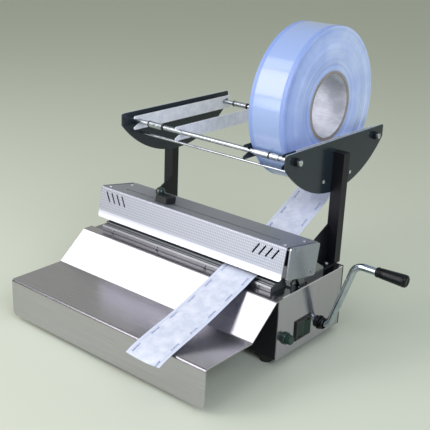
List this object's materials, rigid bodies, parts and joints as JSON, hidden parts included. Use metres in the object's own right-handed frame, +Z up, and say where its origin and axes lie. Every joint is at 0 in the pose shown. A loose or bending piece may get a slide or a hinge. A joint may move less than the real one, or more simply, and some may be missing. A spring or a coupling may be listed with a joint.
{
  "type": "medical heat sealer",
  "caption": "Table-top heat sealer for sterilisation pouches: steel base with feeding tray, hinged sealing head with sliding cutter, crank lever and overhead reel cradle.",
  "frame": {"origin": "on the table, under the middle of the base's front edge", "axes": "+X to the operator's right, +Y to the back, +Z up"},
  "size_m": [0.423, 0.3982, 0.3764],
  "materials": {
    "tray_steel": "satin",
    "panel_steel": "satin",
    "black_paint": "semi-gloss",
    "rail_aluminium": "satin",
    "bright_steel": "polished",
    "link_steel": "satin",
    "guide_sheet": "satin",
    "black_rubber": "matt",
    "black_plastic": "satin",
    "green_plastic": "gloss",
    "bush_brass": "satin",
    "coil_tape": "satin",
    "board_plastic": "satin",
    "insulator_white": "matt",
    "core_card": "matt",
    "pouch_paper": "satin"
  },
  "bodies": {
    "machine": {"chassis": "black_paint", "side_panel_right": "panel_steel", "side_panel_left": "panel_steel", "rear_cover": "black_paint", "top_plate": "tray_steel", "rubber_feet": "black_rubber", "feeding_tray": "tray_steel", "lower_rail": "rail_aluminium", "sealing_pad": "black_rubber", "jaw_screws": "bright_steel", "hinge_bracket_right": "black_paint", "hinge_bracket_left": "black_paint", "hinge_pins": "bright_steel", "shaft_bushes": "bush_brass", "post_right": "black_paint", "post_left": "black_paint", "holder_plate_right": "black_paint", "holder_plate_left": "black_paint", "cradle_screws": "bright_steel", "front_rod": "bright_steel", "rear_rod": "bright_steel", "thin_rod": "bright_steel", "rod_bosses": "black_plastic", "rod_sleeves": "bright_steel", "stop_rings": "black_rubber", "pouch_web": "pouch_paper", "switch_bezel": "black_plastic", "fuse_holder": "black_plastic", "power_inlet": "black_plastic", "transformer_core": "link_steel", "transformer_coil": "coil_tape", "control_board": "board_plastic"},
    "head": {"head_cover": "panel_steel", "head_end_right": "black_paint", "head_end_left": "black_paint", "head_frame": "black_paint", "head_screws": "bright_steel", "heater_bar": "rail_aluminium", "heater_cartridge": "bright_steel", "heater_insulators": "insulator_white", "thermostat": "insulator_white"},
    "cutter": {"cutter_carriage": "black_plastic", "cutter_knob": "black_plastic", "cutter_blade": "bright_steel"},
    "lever": {"lever_shaft": "bright_steel", "eccentrics": "link_steel", "lever_hub": "bright_steel", "lever_rod": "bright_steel", "lever_grip": "black_plastic"},
    "link_right": {"pull_link_right": "link_steel"},
    "link_left": {"pull_link_left": "link_steel"},
    "guide_1": {"guide_strap_1": "guide_sheet"},
    "guide_2": {"guide_strap_2": "guide_sheet"},
    "guide_3": {"guide_strap_3": "guide_sheet"},
    "guide_4": {"guide_strap_4": "guide_sheet"},
    "reel": {"reel_core": "core_card", "reel_roll": "pouch_paper"},
    "rocker": {"switch_rocker": "green_plastic"},
    "fuse": {"fuse_cap": "black_plastic"}
  },
  "joints": [
    {"name": "lever_pull", "type": "hinge", "parent": "machine", "child": "lever", "pos_m": [0, 0.091, 0.026], "axis": [1, 0, 0], "range_deg": [0, 60], "stiffness_Nm_per_rad": 0.12, "springref_deg": -28.65},
    {"name": "head_close", "type": "hinge", "parent": "machine", "child": "head", "pos_m": [0, 0.066, 0.102], "axis": [1, 0, 0], "range_deg": [0, 4]},
    {"name": "pull_link_turn_right", "type": "hinge", "parent": "lever", "child": "link_right", "pos_m": [0, 0.08977, 0.02497], "axis": [1, 0, 0], "range_deg": [-58.7, 0]},
    {"name": "pull_link_turn_left", "type": "hinge", "parent": "lever", "child": "link_left", "pos_m": [0, 0.08977, 0.02497], "axis": [1, 0, 0], "range_deg": [-58.7, 0]},
    {"name": "cutter_slide", "type": "slide", "parent": "head", "child": "cutter", "axis": [1, 0, 0], "range_m": [-0.0655, 0.1735]},
    {"name": "guide_1_slide", "type": "slide", "parent": "machine", "child": "guide_1", "axis": [1, 0, 0], "range_m": [-0.006, 0.017]},
    {"name": "guide_2_slide", "type": "slide", "parent": "machine", "child": "guide_2", "axis": [1, 0, 0], "range_m": [-0.024, 0.04]},
    {"name": "guide_3_slide", "type": "slide", "parent": "machine", "child": "guide_3", "axis": [1, 0, 0], "range_m": [-0.05, 0.0004]},
    {"name": "guide_4_slide", "type": "slide", "parent": "machine", "child": "guide_4", "axis": [1, 0, 0], "range_m": [-0.0005, 0.008]},
    {"name": "reel_spin", "type": "hinge", "parent": "machine", "child": "reel", "pos_m": [0, 0.13785, 0.28146], "axis": [1, 0, 0], "continuous": true},
    {"name": "power_rocker", "type": "hinge", "parent": "machine", "child": "rocker", "pos_m": [0.155, 0.0515, 0.034], "axis": [0, 0, 1], "range_deg": [0, 15]},
    {"name": "fuse_cap_turn", "type": "hinge", "parent": "machine", "child": "fuse", "pos_m": [0.156, 0.017, 0.033], "axis": [1, 0, 0], "range_deg": [0, 90]}
  ],
  "couplings": [
    {"joint": "head_close", "follows": "lever_pull", "ratio": 0.06666},
    {"joint": "pull_link_turn_right", "follows": "lever_pull", "ratio": -0.9779},
    {"joint": "pull_link_turn_left", "follows": "lever_pull", "ratio": -0.9779}
  ]
}
